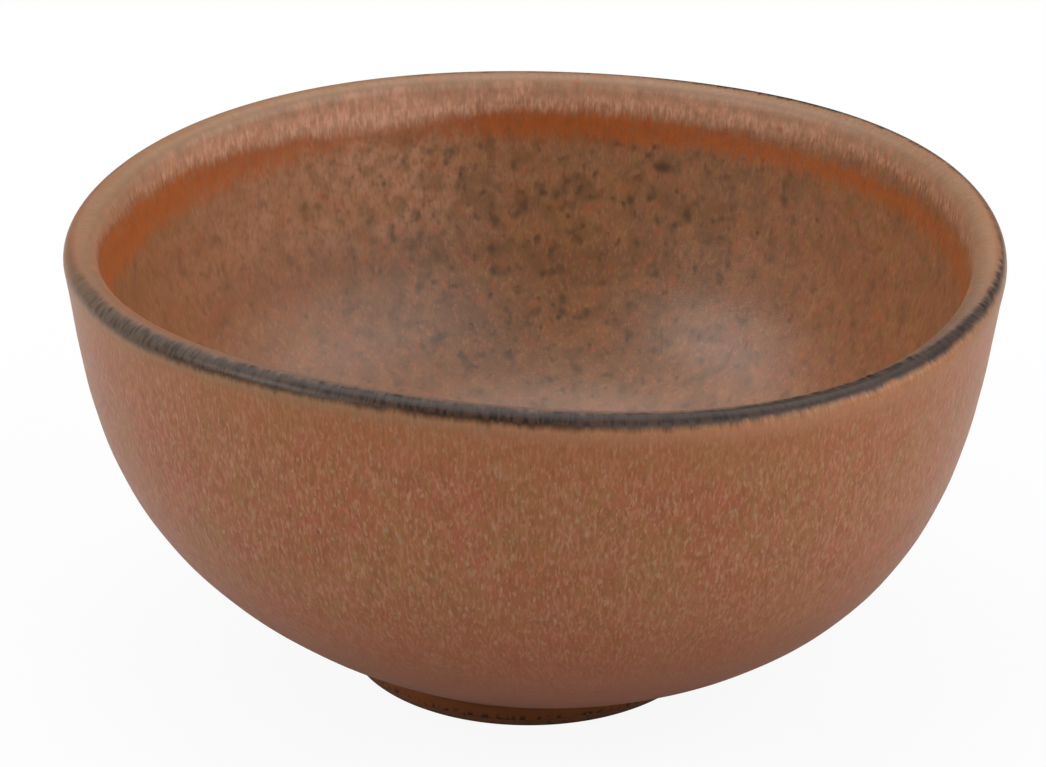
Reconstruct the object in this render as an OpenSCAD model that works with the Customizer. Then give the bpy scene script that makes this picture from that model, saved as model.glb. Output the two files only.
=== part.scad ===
// A small hand-thrown stoneware bowl on a separately made foot ring, under a terracotta glaze.
// Millimetres, +Z up. The origin lies on the table, straight under the middle of the lip.
// The foot ring stands level, and the bowl above it leans a little towards +X.

/* [Bowl] */
// Diameter across the lip, over the glaze
rim_d = 140; // [120:1:170]
// Height of the lip above the table on the bowl's own axis, over the glaze
bowl_h = 70.2; // [60:0.2:84]
// Lean of the bowl on its foot towards +X, in degrees
lean = 0.8; // [0:0.1:1.5]

/* [Wall] */
// Thickness of the clay wall at the lip
lip_t = 4.2; // [3.4:0.1:5.4]
// Thickness of the clay floor inside the foot ring
floor_t = 5.5; // [4:0.1:8]
// Slope of the wall where it leaves the foot, in degrees above level
foot_slope = 19.5; // [14:0.5:26]
// Flare of the wall at the lip, in degrees from upright
lip_slope = 7.8; // [3:0.2:12]

/* [Foot ring] */
// Outer diameter of the foot ring, over the glaze
foot_d = 57.2; // [50:0.2:66]
// Height of the body's seat above the table, on the bowl's own axis
foot_h = 3.9; // [3.4:0.1:6]
// Thickness of the ring's clay wall
ring_t = 5.6; // [4.2:0.1:8]
// Rounding of the ring's two lower edges
ring_edge_r = 1; // [0.5:0.1:1.6]
// Width of the ledge where the ring stands proud of the wall above it
ledge_w = 1.7; // [0.8:0.1:2.6]
// Depth of the recess turned into the underside of the floor, inside the ring
well_recess = 1.6; // [0.8:0.1:2.4]
// Thickness of the slip that lutes the ring to the body
slip_t = 0.5; // [0.3:0.05:0.8]

/* [Glaze] */
// Thickness of the terracotta glaze on the outer wall
outer_coat = 0.4; // [0.25:0.05:0.6]
// Thickness of the glaze inside the bowl
inner_coat = 0.4; // [0.25:0.05:0.6]
// Thickness of the dark band round the lip
band_coat = 0.5; // [0.3:0.05:0.7]
// Thickness of the pale glaze over the crest of the lip
lip_coat = 0.3; // [0.2:0.05:0.5]
// Thickness of the dark glaze on the foot ring
foot_coat = 0.35; // [0.2:0.05:0.5]
// Thickness of the glaze under the floor, inside the ring
well_coat = 0.3; // [0.2:0.05:0.5]
// Depth to which the dark band runs down the outer wall, below the round of the lip
band_drop = 0.9; // [0.5:0.1:3]
// Angle round the lip at which the dark band gives way to the pale crest
band_top = 72; // [50:1:90]
// Depth to which the pale glaze runs down the inner wall, below the round of the lip
crest_drop = 2.5; // [1:0.1:5]
// Height of the bare clay left above the ring's rounded lower edge
bare_h = 0.3; // [0.1:0.1:0.8]

/* [Hidden] */
$fn = 96;

// Steps along each wall and along the short stretches at the lip, and degrees in a step of a round edge
wall_steps = 28;
edge_steps = 6;
arc_step = 12;
halvings = 24;
overrun = 4;

// How full the wall curves are: reach of their handles as shares of the run or the rise
outer_foot_share = 0.99;
outer_lip_share = 0.33;
inner_floor_share = 0.85;
inner_lip_share = 0.62;

// The clay under the glaze, in the leaning bowl's own upright section
lip_r = lip_t / 2;
clay_r = rim_d / 2 - band_coat;
clay_top = bowl_h - lip_coat;
ring_r = foot_d / 2 - foot_coat;
well_r = ring_r - ring_t;
crease_r = ring_r - ledge_w;
well_top = foot_h + well_recess;
floor_top = well_top + floor_t;
ring_top = foot_h - slip_t;
lip_centre = [clay_r - lip_r, clay_top - lip_r];
lip_out = [cos(lip_slope), -sin(lip_slope)];
lip_up = [sin(lip_slope), cos(lip_slope)];

// Shift that brings the middle of the leaning lip over the origin
lean_shift = lip_centre.y * sin(lean);

// A wall curve is four control points, run from the foot or the floor up to the lip
outer_foot = [crease_r, foot_h];
outer_lip = lip_centre + lip_r * lip_out;
outer_reach = outer_foot_share * (clay_r - crease_r);
outer_rise = outer_lip_share * (outer_lip.y - foot_h);
outer_curve = [
    outer_foot,
    outer_foot + outer_reach * [cos(foot_slope), sin(foot_slope)],
    outer_lip - outer_rise * lip_up,
    outer_lip
];
inner_lip = lip_centre - lip_r * lip_out;
inner_reach = inner_floor_share * inner_lip.x;
inner_rise = inner_lip_share * (inner_lip.y - floor_top);
inner_curve = [
    [0, floor_top],
    [inner_reach, floor_top],
    inner_lip - inner_rise * lip_up,
    inner_lip
];

function curve_point(curve, t) =
    pow(1 - t, 3) * curve[0]
    + 3 * pow(1 - t, 2) * t * curve[1]
    + 3 * (1 - t) * pow(t, 2) * curve[2]
    + pow(t, 3) * curve[3];

// Direction in which the curve runs at t
function curve_heading(curve, t) =
    let (run = pow(1 - t, 2) * (curve[1] - curve[0])
             + 2 * (1 - t) * t * (curve[2] - curve[1])
             + pow(t, 2) * (curve[3] - curve[2]))
    run / norm(run);

// The t at which a rising curve reaches a height, found by halving
function curve_at_height(curve, height, low = 0, high = 1, left = halvings) =
    let (middle = (low + high) / 2)
    left == 0 ? middle
    : curve_point(curve, middle).y < height
        ? curve_at_height(curve, height, middle, high, left - 1)
        : curve_at_height(curve, height, low, middle, left - 1);

// Stations are pairs of a point on the clay and the direction that leads straight out of it
function outer_stations(from, to, steps) = [
    for (i = [0:steps])
        let (t = from + (to - from) * i / steps, heading = curve_heading(outer_curve, t))
        [curve_point(outer_curve, t), [heading.y, -heading.x]]
];

function lip_stations(from, to) =
    let (steps = ceil((to - from) / arc_step))
    [
        for (i = [0:steps])
            let (angle = from + (to - from) * i / steps, out = [cos(angle), sin(angle)])
            [lip_centre + lip_r * out, out]
    ];

function inner_stations(from, to, steps) = [
    for (i = [0:steps])
        let (t = from + (to - from) * i / steps, heading = curve_heading(inner_curve, t))
        [curve_point(inner_curve, t), [-heading.y, heading.x]]
];

function on_clay(stations) = [for (station = stations) station[0]];

// A coat rests on the ring's ledge where it would reach below it
function over_clay(stations, coat) = [
    for (i = [len(stations) - 1:-1:0])
        let (skin = stations[i][0] + coat * stations[i][1])
        [skin.x, max(skin.y, ring_top)]
];

// Stations shared by two stretches are listed once
function without_first(list) = [for (i = [1:len(list) - 1]) list[i]];

band_foot_t = curve_at_height(outer_curve, outer_lip.y - band_drop);
crest_foot_t = curve_at_height(inner_curve, inner_lip.y - crest_drop);

// The clay's skin in four runs, one for each coat, from the foot over the lip to the middle of the floor
wall_run = outer_stations(0, band_foot_t, wall_steps);
band_run = concat(
    outer_stations(band_foot_t, 1, edge_steps),
    without_first(lip_stations(-lip_slope, band_top))
);
crest_run = concat(
    lip_stations(band_top, 180 - lip_slope),
    without_first(inner_stations(1, crest_foot_t, edge_steps))
);
bowl_run = inner_stations(crest_foot_t, 0, wall_steps);

// Puts what is modelled upright on the bowl's axis into its leaning place
module leaning() {
    translate([-lean_shift, 0, 0])
        rotate([0, lean, 0])
            children();
}

// Puts what stands level on the table under the leaning bowl
module level() {
    translate([-lean_shift, 0, 0])
        children();
}

// A coat of even thickness over a run of stations
module coat(stations, thickness) {
    leaning()
        rotate_extrude()
            polygon(concat(on_clay(stations), over_clay(stations, thickness)));
}

// A level ring, cut off above by the leaning plane on which the slip lies
module cut_to_slip() {
    difference() {
        level()
            rotate_extrude()
                children();
        leaning()
            translate([0, 0, ring_top])
                cylinder(r = ring_r + overrun, h = foot_h + overrun);
    }
}

// Wall, rounded lip and floor in one thrown piece, with the seat and the recess for the foot below
module clay_body() {
    outline = concat(
        [[0, well_top], [well_r, well_top], [well_r, foot_h]],
        on_clay(wall_run),
        without_first(on_clay(band_run)),
        without_first(on_clay(crest_run)),
        without_first(on_clay(bowl_run))
    );
    color([0.62, 0.47, 0.37])
        leaning()
            rotate_extrude()
                polygon(outline);
}

// Foot ring, pared level below and left leaning above where it meets the body
module foot_ring() {
    color([0.55, 0.38, 0.28])
        cut_to_slip()
            ring_section();
}

// Half section of the ring, drawn too tall so that its top can be cut leaning
module ring_section() {
    outer_edge = [
        for (angle = [-90:arc_step / 2:0])
            [ring_r - ring_edge_r, ring_edge_r] + ring_edge_r * [cos(angle), sin(angle)]
    ];
    inner_edge = [
        for (angle = [180:arc_step / 2:270])
            [well_r + ring_edge_r, ring_edge_r] + ring_edge_r * [cos(angle), sin(angle)]
    ];
    polygon(concat(
        outer_edge,
        [[ring_r, foot_h + overrun / 2], [well_r, foot_h + overrun / 2]],
        inner_edge
    ));
}

// Thin slip in the joint between the ring and the seat
module luting_slip() {
    color([0.45, 0.30, 0.22])
        leaning()
            rotate_extrude()
                polygon([
                    [well_r, ring_top],
                    [crease_r, ring_top],
                    [crease_r, foot_h],
                    [well_r, foot_h]
                ]);
}

// Glaze of the inside, from below the crest down over the floor
module inner_glaze() {
    color([0.62, 0.36, 0.25])
        coat(bowl_run, inner_coat);
}

// Pale glaze over the crest of the lip, thinned where it ran off the edge
module lip_glaze() {
    color([0.72, 0.56, 0.45])
        coat(crest_run, lip_coat);
}

// Dark band that runs round the outer edge of the lip
module rim_band() {
    color([0.22, 0.17, 0.17])
        coat(band_run, band_coat);
}

// Terracotta glaze of the outer wall, from the foot up to the dark band
module outer_glaze() {
    color([0.70, 0.39, 0.27])
        coat(wall_run, outer_coat);
}

// Darker glaze round the foot ring, wiped off just above the table
module foot_glaze() {
    color([0.42, 0.24, 0.14])
        cut_to_slip()
            polygon([
                [ring_r, ring_edge_r + bare_h],
                [ring_r + foot_coat, ring_edge_r + bare_h],
                [ring_r + foot_coat, foot_h + overrun / 2],
                [ring_r, foot_h + overrun / 2]
            ]);
}

// Glaze on the recessed underside of the floor
module well_glaze() {
    color([0.60, 0.35, 0.24])
        leaning()
            rotate_extrude()
                polygon([
                    [0, well_top - well_coat],
                    [well_r, well_top - well_coat],
                    [well_r, well_top],
                    [0, well_top]
                ]);
}

clay_body();
foot_ring();
luting_slip();
inner_glaze();
lip_glaze();
rim_band();
outer_glaze();
foot_glaze();
well_glaze();
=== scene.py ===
"""A small hand-thrown stoneware bowl under a terracotta glaze, dressed over its construction model.

The clay, its foot ring and each coat of glaze are surfaces turned from one upright half section, the same
as in the construction model. A warp then gives the bowl the offset belly and the wavy lip of a thrown pot.
All sizes are in millimetres until a mesh is written, which is in metres. Radii that the construction model
fixes are read from it.
"""

from __future__ import annotations

import logging
import math
from collections.abc import Mapping
from dataclasses import dataclass
from enum import Enum
from typing import Any

import bpy
import numpy as np
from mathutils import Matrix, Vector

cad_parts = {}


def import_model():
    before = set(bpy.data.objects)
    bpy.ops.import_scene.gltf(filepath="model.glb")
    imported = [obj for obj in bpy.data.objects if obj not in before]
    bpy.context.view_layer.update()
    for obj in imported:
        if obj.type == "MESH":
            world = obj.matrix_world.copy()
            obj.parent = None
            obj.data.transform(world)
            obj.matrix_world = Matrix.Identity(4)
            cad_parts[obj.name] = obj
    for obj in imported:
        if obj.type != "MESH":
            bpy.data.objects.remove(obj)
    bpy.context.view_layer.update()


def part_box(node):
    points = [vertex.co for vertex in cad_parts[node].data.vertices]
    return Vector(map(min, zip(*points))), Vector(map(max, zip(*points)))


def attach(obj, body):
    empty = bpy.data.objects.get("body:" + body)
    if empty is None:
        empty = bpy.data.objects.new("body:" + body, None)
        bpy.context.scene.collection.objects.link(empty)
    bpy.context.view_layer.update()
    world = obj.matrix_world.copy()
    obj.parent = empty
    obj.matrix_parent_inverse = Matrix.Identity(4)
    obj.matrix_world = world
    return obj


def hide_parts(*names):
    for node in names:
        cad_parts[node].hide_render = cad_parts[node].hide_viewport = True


LOG = logging.getLogger("bowl")
MM = 0.001
TO_MM = (1.0 / MM, 1.0 / MM, 1.0 / MM)
BODY = "root"
PLACE = "glaze_place"

# The photograph's frame, in pixels, and the lens that its perspective asks for
PHOTO_WIDTH = 1046
FOCAL_PIXELS = 3673.7
SENSOR_WIDTH = 36.0

# Steps round the bowl, along each wall, and along the short stretches of the lip and the foot
COLUMNS = 360
WALL_STEPS = 72
LIP_STEPS = 22
FOOT_STEPS = 10
PATH_STEPS = 1200
SHARP_ANGLE = math.radians(38)

Wired = "Wire | float | tuple[float, ...]"
Array = np.ndarray
Span = tuple[float, float]
Grain = tuple[float, ...]


def add_object(name: str, data: bpy.types.ID) -> bpy.types.Object:
    """Adds an object of a mesh, a lamp or a camera to the scene, at the origin.

    Args:
        name: Name of the object.
        data: What it shows.

    Returns:
        The new object.
    """
    made = bpy.data.objects.new(name, data)
    bpy.context.scene.collection.objects.link(made)
    return made


def directions(turn: Array) -> Array:
    """Gives the unit directions at angles from the first axis, as cosine and sine."""
    return np.stack([np.cos(turn), np.sin(turn)], axis=-1)


def smoothstep(low: float | Array, high: float | Array, value: Array) -> Array:
    """Gives 0 below low, 1 above high and 3u^2 - 2u^3 between, where u is the share of the way."""
    share = np.clip((value - low) / (high - low), 0.0, 1.0)
    return share * share * (3.0 - 2.0 * share)


def eased(start: float, end: float, steps: int) -> Array:
    """Spaces steps + 1 values from start to end so that they crowd at both ends, as a cosine does.

    Neighbouring coats then meet at a seam with almost the same slope, and the seam doesn't show.
    """
    share = (1.0 - np.cos(np.linspace(0.0, math.pi, steps + 1))) / 2.0
    return start + (end - start) * share


def bezier(t: Array, a: Array, b: Array, c: Array, d: Array) -> Array:
    """Gives the points of a cubic at t, as the Bernstein sum of its four control points."""
    return (1 - t) ** 3 * a + 3 * (1 - t) ** 2 * t * b + 3 * (1 - t) * t**2 * c + t**3 * d


def rounded_interp(value: Array, at: list[float], level: list[float]) -> Array:
    """Interpolates between levels with a smooth step from each place in at to the next.

    Args:
        value: Places to look up.
        at: Places with a known level, rising.
        level: The level at each of those places.

    Returns:
        The level at each value, flat beyond the first and last place.
    """
    places = np.asarray(at)
    levels = np.asarray(level)
    index = np.clip(np.searchsorted(places, value, side="right") - 1, 0, len(places) - 2)
    rise = smoothstep(places[index], places[index + 1], value)
    return levels[index] + (levels[index + 1] - levels[index]) * rise


@dataclass(frozen=True)
class Line:
    """A value that changes round the bowl, such as how far from the crest a belt of colour ends.

    Turns are in degrees from +X towards +Y. The value runs straight from one turn to the next, and is then
    averaged over a few degrees so that it has no corners.
    """

    name: str
    turns: tuple[float, ...]
    values: tuple[float, ...]
    blend: int = 6

    def at(self, phi: Array) -> Array:
        """Gives the value at evenly spaced angles that go once round the bowl."""
        found = np.interp(np.degrees(phi), self.turns, self.values, period=360.0)
        return np.mean([np.roll(found, shift) for shift in range(-self.blend, self.blend + 1)], axis=0)


@dataclass(frozen=True)
class Curve:
    """A cubic wall curve of four control points in the upright half section."""

    points: Array

    def at(self, t: Array) -> Array:
        """Gives the points at t, as the cubic Bernstein sum of the control points."""
        return bezier(t[:, None], *self.points)

    def heading(self, t: Array) -> Array:
        """Gives the unit directions in which the curve runs at t, from the steps between its points.

        Args:
            t: Shares of the curve, from 0 to 1.

        Returns:
            One direction for each share.
        """
        u = t[:, None]
        first, second, third = np.diff(self.points, axis=0)
        run = (1 - u) ** 2 * first + 2 * (1 - u) * u * second + u**2 * third
        return run / np.linalg.norm(run, axis=1, keepdims=True)


@dataclass(frozen=True)
class BowlSizes:
    """Sizes of the bowl in its upright half section, in millimetres.

    The first three are read from the construction model, and the rest repeat its driving dimensions.
    """

    rim_r: float
    foot_r: float
    well_r: float
    bowl_h: float = 70.2
    lean: float = 0.8
    lip_t: float = 4.2
    floor_t: float = 5.5
    foot_slope: float = 19.5
    lip_slope: float = 7.8
    foot_h: float = 3.9
    ledge_w: float = 1.7
    ring_edge_r: float = 1.0
    bare_h: float = 0.3
    well_recess: float = 1.6
    slip_t: float = 0.5
    outer_coat: float = 0.4
    inner_coat: float = 0.4
    band_coat: float = 0.5
    lip_coat: float = 0.3
    foot_coat: float = 0.35
    well_coat: float = 0.3
    band_drop: float = 0.9
    band_top: float = 72.0
    crest_drop: float = 2.5
    outer_foot_share: float = 0.99
    outer_lip_share: float = 0.33
    inner_floor_share: float = 0.85
    inner_lip_share: float = 0.62

    @classmethod
    def from_frame(cls) -> BowlSizes:
        """Reads the radii off the construction model, across the direction in which it leans."""
        return cls(*(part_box(node)[1].y / MM for node in ("rim_band", "foot_glaze", "well_glaze")))

    @property
    def lip_r(self) -> float:
        """Radius of the clay's rounded lip."""
        return self.lip_t / 2

    @property
    def lip_centre(self) -> Array:
        """Centre of the round of the lip.

        Returns:
            Its radius and height.
        """
        clay_r = self.rim_r - self.band_coat
        clay_top = self.bowl_h - self.lip_coat
        return np.array([clay_r - self.lip_r, clay_top - self.lip_r])

    @property
    def ring_r(self) -> float:
        """Outer radius of the foot ring's clay."""
        return self.foot_r - self.foot_coat

    @property
    def crease_r(self) -> float:
        """Radius at which the wall leaves the seat."""
        return self.ring_r - self.ledge_w

    @property
    def ring_top(self) -> float:
        """Height of the ring's leaning top, on the bowl's own axis."""
        return self.foot_h - self.slip_t

    @property
    def well_top(self) -> float:
        """Height of the recess turned into the underside of the floor."""
        return self.foot_h + self.well_recess

    @property
    def floor_top(self) -> float:
        """Height of the clay floor inside the bowl."""
        return self.well_top + self.floor_t

    @property
    def lean_shift(self) -> float:
        """Shift that brings the middle of the leaning lip over the origin."""
        return float(self.lip_centre[1]) * math.sin(math.radians(self.lean))

    def lip_axes(self) -> tuple[Array, Array]:
        """Gives the directions out of the wall and up along it, at the lip."""
        slope = math.radians(self.lip_slope)
        return np.array([math.cos(slope), -math.sin(slope)]), np.array([math.sin(slope), math.cos(slope)])

    def outer_curve(self) -> Curve:
        """Gives the outer wall from the crease to the lip.

        Returns:
            The clay's outer face.
        """
        lip_out, lip_up = self.lip_axes()
        slope = math.radians(self.foot_slope)
        foot = np.array([self.crease_r, self.foot_h])
        lip = self.lip_centre + self.lip_r * lip_out
        reach = self.outer_foot_share * (self.rim_r - self.band_coat - self.crease_r)
        rise = self.outer_lip_share * (lip[1] - self.foot_h)
        handle = foot + reach * np.array([math.cos(slope), math.sin(slope)])
        return Curve(np.array([foot, handle, lip - rise * lip_up, lip]))

    def inner_curve(self) -> Curve:
        """Gives the inner wall from the middle of the floor to the lip.

        Returns:
            The clay's inner face.
        """
        lip_out, lip_up = self.lip_axes()
        lip = self.lip_centre - self.lip_r * lip_out
        floor = np.array([0.0, self.floor_top])
        handle = np.array([self.inner_floor_share * lip[0], self.floor_top])
        rise = self.inner_lip_share * (lip[1] - self.floor_top)
        return Curve(np.array([floor, handle, lip - rise * lip_up, lip]))


class Skin:
    """The clay's skin as one path over the lip, looked up by its way from the crest.

    The way is the length along the skin, above zero down the outside and below zero down the inside. Each
    place has its point on the clay and the unit direction that leads straight out of it.
    """

    def __init__(self, sizes: BowlSizes) -> None:
        """Lays out the path from the sizes, from the crease over the lip to the middle of the floor.

        Args:
            sizes: The bowl's sizes.
        """
        t = np.linspace(0.0, 1.0, PATH_STEPS)
        outer = sizes.outer_curve()
        inner = sizes.inner_curve()
        turn = np.radians(np.linspace(-sizes.lip_slope, 180.0 - sizes.lip_slope, PATH_STEPS))
        lip_out = directions(turn)
        up = outer.heading(t)
        down = inner.heading(t[::-1])
        point = np.concatenate([outer.at(t), sizes.lip_centre + sizes.lip_r * lip_out, inner.at(t[::-1])])
        out = np.concatenate([
            np.stack([up[:, 1], -up[:, 0]], axis=1),
            lip_out,
            np.stack([-down[:, 1], down[:, 0]], axis=1),
        ])
        steps = np.linalg.norm(np.diff(point, axis=0), axis=1)
        length = np.concatenate([[0.0], np.cumsum(steps)])
        outer_length = length[PATH_STEPS - 1]
        crest_length = outer_length + sizes.lip_r * math.radians(90.0 + sizes.lip_slope)
        way = crest_length - length
        self._way = way[::-1]
        self._point = point[::-1]
        self._out = out[::-1]
        band_foot_height = outer.points[3][1] - sizes.band_drop
        crest_foot_height = inner.points[3][1] - sizes.crest_drop
        inner_way = way[-PATH_STEPS:]
        self.foot = float(way[0])
        self.band_foot = float(np.interp(band_foot_height, outer.at(t)[:, 1], way[:PATH_STEPS]))
        self.band_top = sizes.lip_r * math.radians(90.0 - sizes.band_top)
        self.crest_foot = float(np.interp(crest_foot_height, inner.at(t)[:, 1], inner_way[::-1]))
        self.floor = float(way[-1])

    def point(self, way: Array) -> Array:
        """Gives the radius and height of the clay at each way."""
        return np.stack([np.interp(way, self._way, self._point[:, k]) for k in range(2)], axis=-1)

    def out(self, way: Array) -> Array:
        """Gives the direction straight out of the clay at each way."""
        found = np.stack([np.interp(way, self._way, self._out[:, k]) for k in range(2)], axis=-1)
        return found / np.linalg.norm(found, axis=-1, keepdims=True)


@dataclass(frozen=True)
class Relief:
    """Thickness of the glaze along the skin, with the soft ridges that the thrower's fingers left.

    The ridges are a spiral: they rise and fall as the cosine of the way over their pitch, less the angle
    round the bowl, and fade out at the lip and at the foot.
    """

    sizes: BowlSizes
    skin: Skin
    outer_pitch: float = 8.5
    outer_ridge: float = 0.02
    inner_pitch: float = 10.5
    inner_ridge: float = 0.03
    fade: float = 12.0
    settle: float = 2.2

    def coat(self, way: Array) -> Array:
        """Gives the coat's own thickness at each way, blended where one coat gives way to the next.

        Args:
            way: Places along the skin.

        Returns:
            Thickness at each way, in millimetres.
        """
        sizes, skin = self.sizes, self.skin
        places = [
            skin.crest_foot - self.settle, skin.crest_foot, 0.0, skin.band_top,
            (skin.band_top + skin.band_foot) / 2, skin.band_foot, skin.band_foot + self.settle,
        ]
        levels = [
            sizes.inner_coat, (sizes.inner_coat + sizes.lip_coat) / 2, sizes.lip_coat,
            (sizes.lip_coat + sizes.band_coat) / 2, sizes.band_coat,
            (sizes.band_coat + sizes.outer_coat) / 2, sizes.outer_coat,
        ]
        return rounded_interp(way, places, levels)

    def ridges(self, way: Array, phi: Array) -> Array:
        """Gives the height of the throwing ridges on a grid of ways and angles round the bowl.

        Args:
            way: Places along the skin, one a row.
            phi: Angles round the bowl, one a column.

        Returns:
            Height of the ridges, one row for each way.
        """
        skin, path = self.skin, way[:, None]
        outside = smoothstep(skin.band_foot, skin.band_foot + self.fade, path)
        outside *= 1.0 - smoothstep(skin.foot - self.fade, skin.foot - self.settle, path)
        inside = smoothstep(skin.floor, skin.floor + self.fade, path)
        inside *= 1.0 - smoothstep(skin.crest_foot - self.fade, skin.crest_foot, path)
        outer = self.outer_ridge * outside * np.cos(2 * math.pi * path / self.outer_pitch - phi)
        inner = self.inner_ridge * inside * np.cos(2 * math.pi * path / self.inner_pitch - phi)
        return outer + inner


@dataclass(frozen=True)
class Level:
    """The upright setting of what stands level on the table under the leaning bowl."""

    sizes: BowlSizes

    def place(self, radius: Array, height: Array, phi: Array) -> Array:
        """Turns section points into space, round the foot's own axis."""
        x = radius * np.cos(phi) - self.sizes.lean_shift
        return np.stack(np.broadcast_arrays(x, radius * np.sin(phi), height), axis=-1)


@dataclass(frozen=True)
class Leaning(Level):
    """The setting of the bowl itself, with its lean and the ways in which it isn't a true turned form.

    The belly is pushed sideways, most at a share of the height, the lip waves twice and three times round,
    and the plan is a little oval. Lengths are in millimetres and directions in degrees from +X towards +Y.
    """

    belly: float = 2.5
    belly_dir: float = 24.4
    belly_peak_share: float = 0.1312
    belly_ease: float = 8.0
    saddle: float = 1.204
    saddle_dir: float = 54.2
    ripple: float = 0.98
    ripple_dir: float = 13.5
    oval: float = -0.28
    oval_dir: float = 82.0

    def place(self, radius: Array, height: Array, phi: Array) -> Array:
        """Turns section points into space, warps them and leans them about the Y axis.

        The belly's push is s/p e^(1 - s/p) for a share of height s and its peak p, and stops short of the
        recess inside the foot. The waves grow as s times the square of the radius over the rim's.

        Args:
            radius: Distance from the bowl's axis.
            height: Height along it.
            phi: Angle round it.

        Returns:
            Points in space, with x, y and z on the last axis.
        """
        sizes = self.sizes
        share = np.clip((height - sizes.foot_h) / (sizes.bowl_h - sizes.foot_h), 0.0, None)
        peak = share / self.belly_peak_share
        push = self.belly * peak * np.exp(1.0 - peak)
        push = push * smoothstep(sizes.well_r, sizes.well_r + self.belly_ease, radius)
        sway = share * np.minimum(radius / sizes.rim_r, 1.0) ** 2
        bent = radius + self.oval * sway * np.cos(2 * (phi - math.radians(self.oval_dir)))
        x = bent * np.cos(phi) + push * math.cos(math.radians(self.belly_dir))
        y = bent * np.sin(phi) + push * math.sin(math.radians(self.belly_dir))
        z = height + self.saddle * sway * np.cos(2 * (phi - math.radians(self.saddle_dir)))
        z = z + self.ripple * sway * np.cos(3 * (phi - math.radians(self.ripple_dir)))
        tilt = math.radians(sizes.lean)
        across = x * math.cos(tilt) + z * math.sin(tilt) - sizes.lean_shift
        upward = z * math.cos(tilt) - x * math.sin(tilt)
        return np.stack(np.broadcast_arrays(across, y, upward), axis=-1)


def join_rows(*stretches: Array) -> Array:
    """Joins stretches of a section, each with one column or all of them, into rows with all of them."""
    return np.concatenate([np.broadcast_to(stretch, (len(stretch), COLUMNS)) for stretch in stretches])


@dataclass(frozen=True)
class Section:
    """A half section to be turned, its points in order with the solid on the left.

    Radius and height have one row for each point and either one column or one for each step round the bowl.
    A capped section starts and ends on the axis, and any other is a closed loop.
    """

    radius: Array
    height: Array
    way: Array
    capped: bool = False

    @classmethod
    def of_points(cls, points: Array, way: Array, capped: bool = False) -> Section:
        """Makes the section of a plain outline that is the same all round."""
        return cls(points[:, :1], points[:, 1:], way, capped)


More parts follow.
